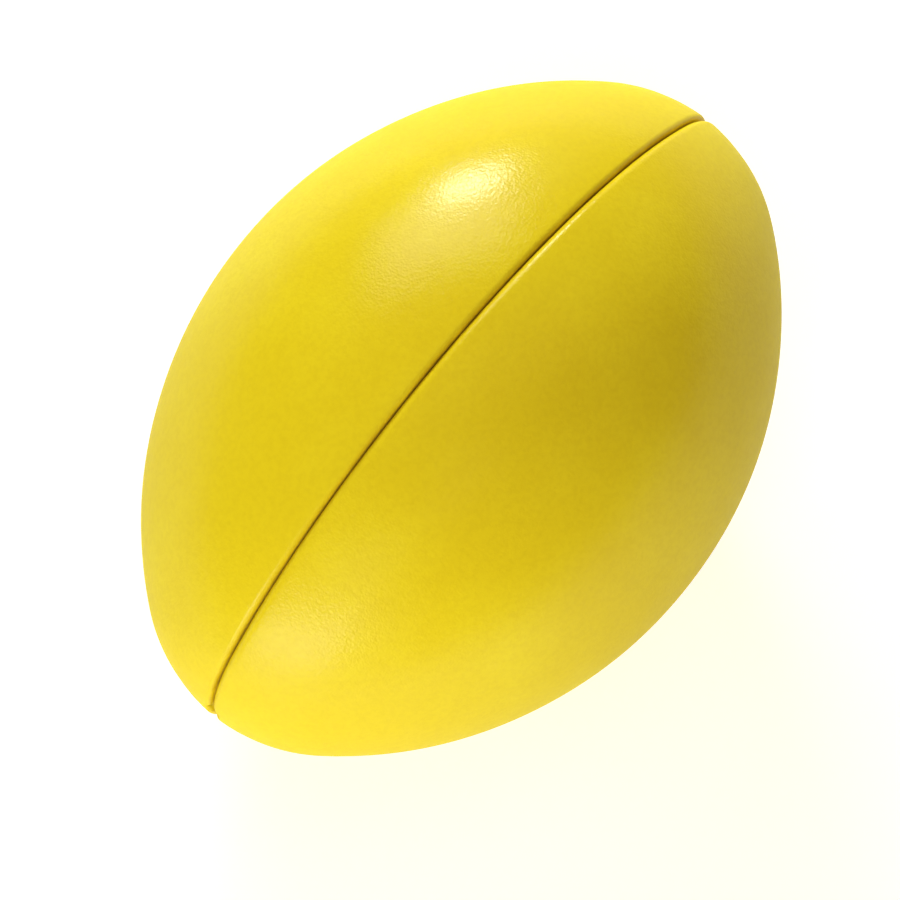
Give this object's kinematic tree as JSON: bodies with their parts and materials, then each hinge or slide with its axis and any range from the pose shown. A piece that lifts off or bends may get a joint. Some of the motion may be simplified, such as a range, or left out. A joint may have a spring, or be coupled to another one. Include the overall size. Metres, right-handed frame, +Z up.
{
  "type": "throwable self-inflating life ring",
  "caption": "Rugby-ball-shaped foam shell in mirrored halves that pop apart round a folded self-inflating life ring with its gas cylinder and water-activated inflator.",
  "frame": {"origin": "centre of the closed shell, on the tip-to-tip axis and the parting plane", "axes": "+X along the tip-to-tip axis towards the bobbin cap, parting plane at y = 0, +Z up with the inflator below the folded ring"},
  "size_m": [0.2398, 0.1734, 0.1732],
  "materials": {
    "shell_foam": "soft leather-grained foam skin, satin",
    "snap_nylon": "moulded, satin",
    "eye_nylon": "moulded, fine texture",
    "bladder_fabric": "coated woven nylon, satin",
    "reflective_film": "reflective film with a fine cell pattern",
    "band_webbing": "woven webbing",
    "manifold_tpu": "moulded, satin",
    "seal_rubber": "smooth rubber",
    "nut_nylon": "moulded, satin",
    "inflator_acetal": "spark-textured moulding",
    "pin_steel": "ground",
    "bobbin_cellulose": "pressed powder",
    "spring_steel": "drawn wire",
    "tube_tpu": "smooth, satin",
    "valve_acetal": "moulded, satin",
    "cylinder_steel": "zinc-plated, passivated",
    "seal_steel": "pressed disc",
    "carrier_brass": "turned",
    "plunger_acetal": "moulded, satin",
    "lever_acetal": "moulded, satin",
    "cap_acetal": "moulded, satin",
    "poppet_acetal": "moulded, satin",
    "dust_cap_pe": "moulded, satin"
  },
  "bodies": {
    "ring_pack": {"ring_bladder": "bladder_fabric", "reflective_tape": "reflective_film", "retaining_bands": "band_webbing", "manifold_stem": "manifold_tpu", "manifold_gaskets": "seal_rubber", "manifold_nut": "nut_nylon", "inflator_body": "inflator_acetal", "cylinder_gasket": "seal_rubber", "lever_pin": "pin_steel", "water_bobbin": "bobbin_cellulose", "plunger_spring": "spring_steel", "oral_elbow": "manifold_tpu", "oral_tube": "tube_tpu", "oral_valve_body": "valve_acetal", "valve_spring": "spring_steel"},
    "left_half": {"left_shell": "shell_foam", "left_snap_pegs": "snap_nylon", "left_snap_sockets": "snap_nylon", "left_tether_eye": "eye_nylon"},
    "right_half": {"right_shell": "shell_foam", "right_snap_pegs": "snap_nylon", "right_snap_sockets": "snap_nylon", "right_tether_eye": "eye_nylon"},
    "cylinder": {"co2_cylinder": "cylinder_steel", "cylinder_seal": "seal_steel"},
    "pin_assembly": {"pin_carrier": "carrier_brass", "piercing_pin": "pin_steel", "carrier_oring": "seal_rubber"},
    "plunger": {"plunger": "plunger_acetal"},
    "pull_lever": {"lever": "lever_acetal"},
    "bobbin_cap": {"bobbin_cap": "cap_acetal"},
    "valve_poppet": {"valve_poppet": "poppet_acetal"},
    "dust_cap": {"dust_cap": "dust_cap_pe"}
  },
  "joints": [
    {"name": "left_half_release", "type": "slide", "parent": "ring_pack", "child": "left_half", "axis": [0, -1, 0], "range_m": [0, 0.13]},
    {"name": "right_half_release", "type": "slide", "parent": "ring_pack", "child": "right_half", "axis": [0, 1, 0], "range_m": [0, 0.13]},
    {"name": "lever_pull", "type": "hinge", "parent": "ring_pack", "child": "pull_lever", "pos_m": [0.05, 0, -0.031], "axis": [0, -1, 0], "range_deg": [0, 34]},
    {"name": "pin_stroke", "type": "slide", "parent": "ring_pack", "child": "pin_assembly", "axis": [-1, 0, 0], "range_m": [0, 0.005], "deforming": ["cylinder_seal"]},
    {"name": "plunger_stroke", "type": "slide", "parent": "ring_pack", "child": "plunger", "axis": [-1, 0, 0], "range_m": [0, 0.005], "deforming": ["plunger_spring", "water_bobbin"]},
    {"name": "cylinder_unscrew", "type": "hinge", "parent": "ring_pack", "child": "cylinder", "pos_m": [0.022, 0, -0.022], "axis": [1, 0, 0], "continuous": true},
    {"name": "bobbin_cap_unscrew", "type": "hinge", "parent": "ring_pack", "child": "bobbin_cap", "pos_m": [0.067, 0, -0.022], "axis": [1, 0, 0], "continuous": true},
    {"name": "valve_poppet_press", "type": "slide", "parent": "ring_pack", "child": "valve_poppet", "axis": [-1, 0, 0], "range_m": [0, 0.0025], "stiffness_N_per_m": 250, "springref_m": -0.002, "deforming": ["valve_spring"]},
    {"name": "dust_cap_pull", "type": "slide", "parent": "ring_pack", "child": "dust_cap", "axis": [1, 0, 0], "range_m": [0, 0.016]}
  ],
  "couplings": [
    {"joint": "pin_stroke", "follows": "lever_pull", "m_per_rad": 0.00842},
    {"joint": "plunger_stroke", "follows": "lever_pull", "m_per_rad": 0.00842}
  ]
}
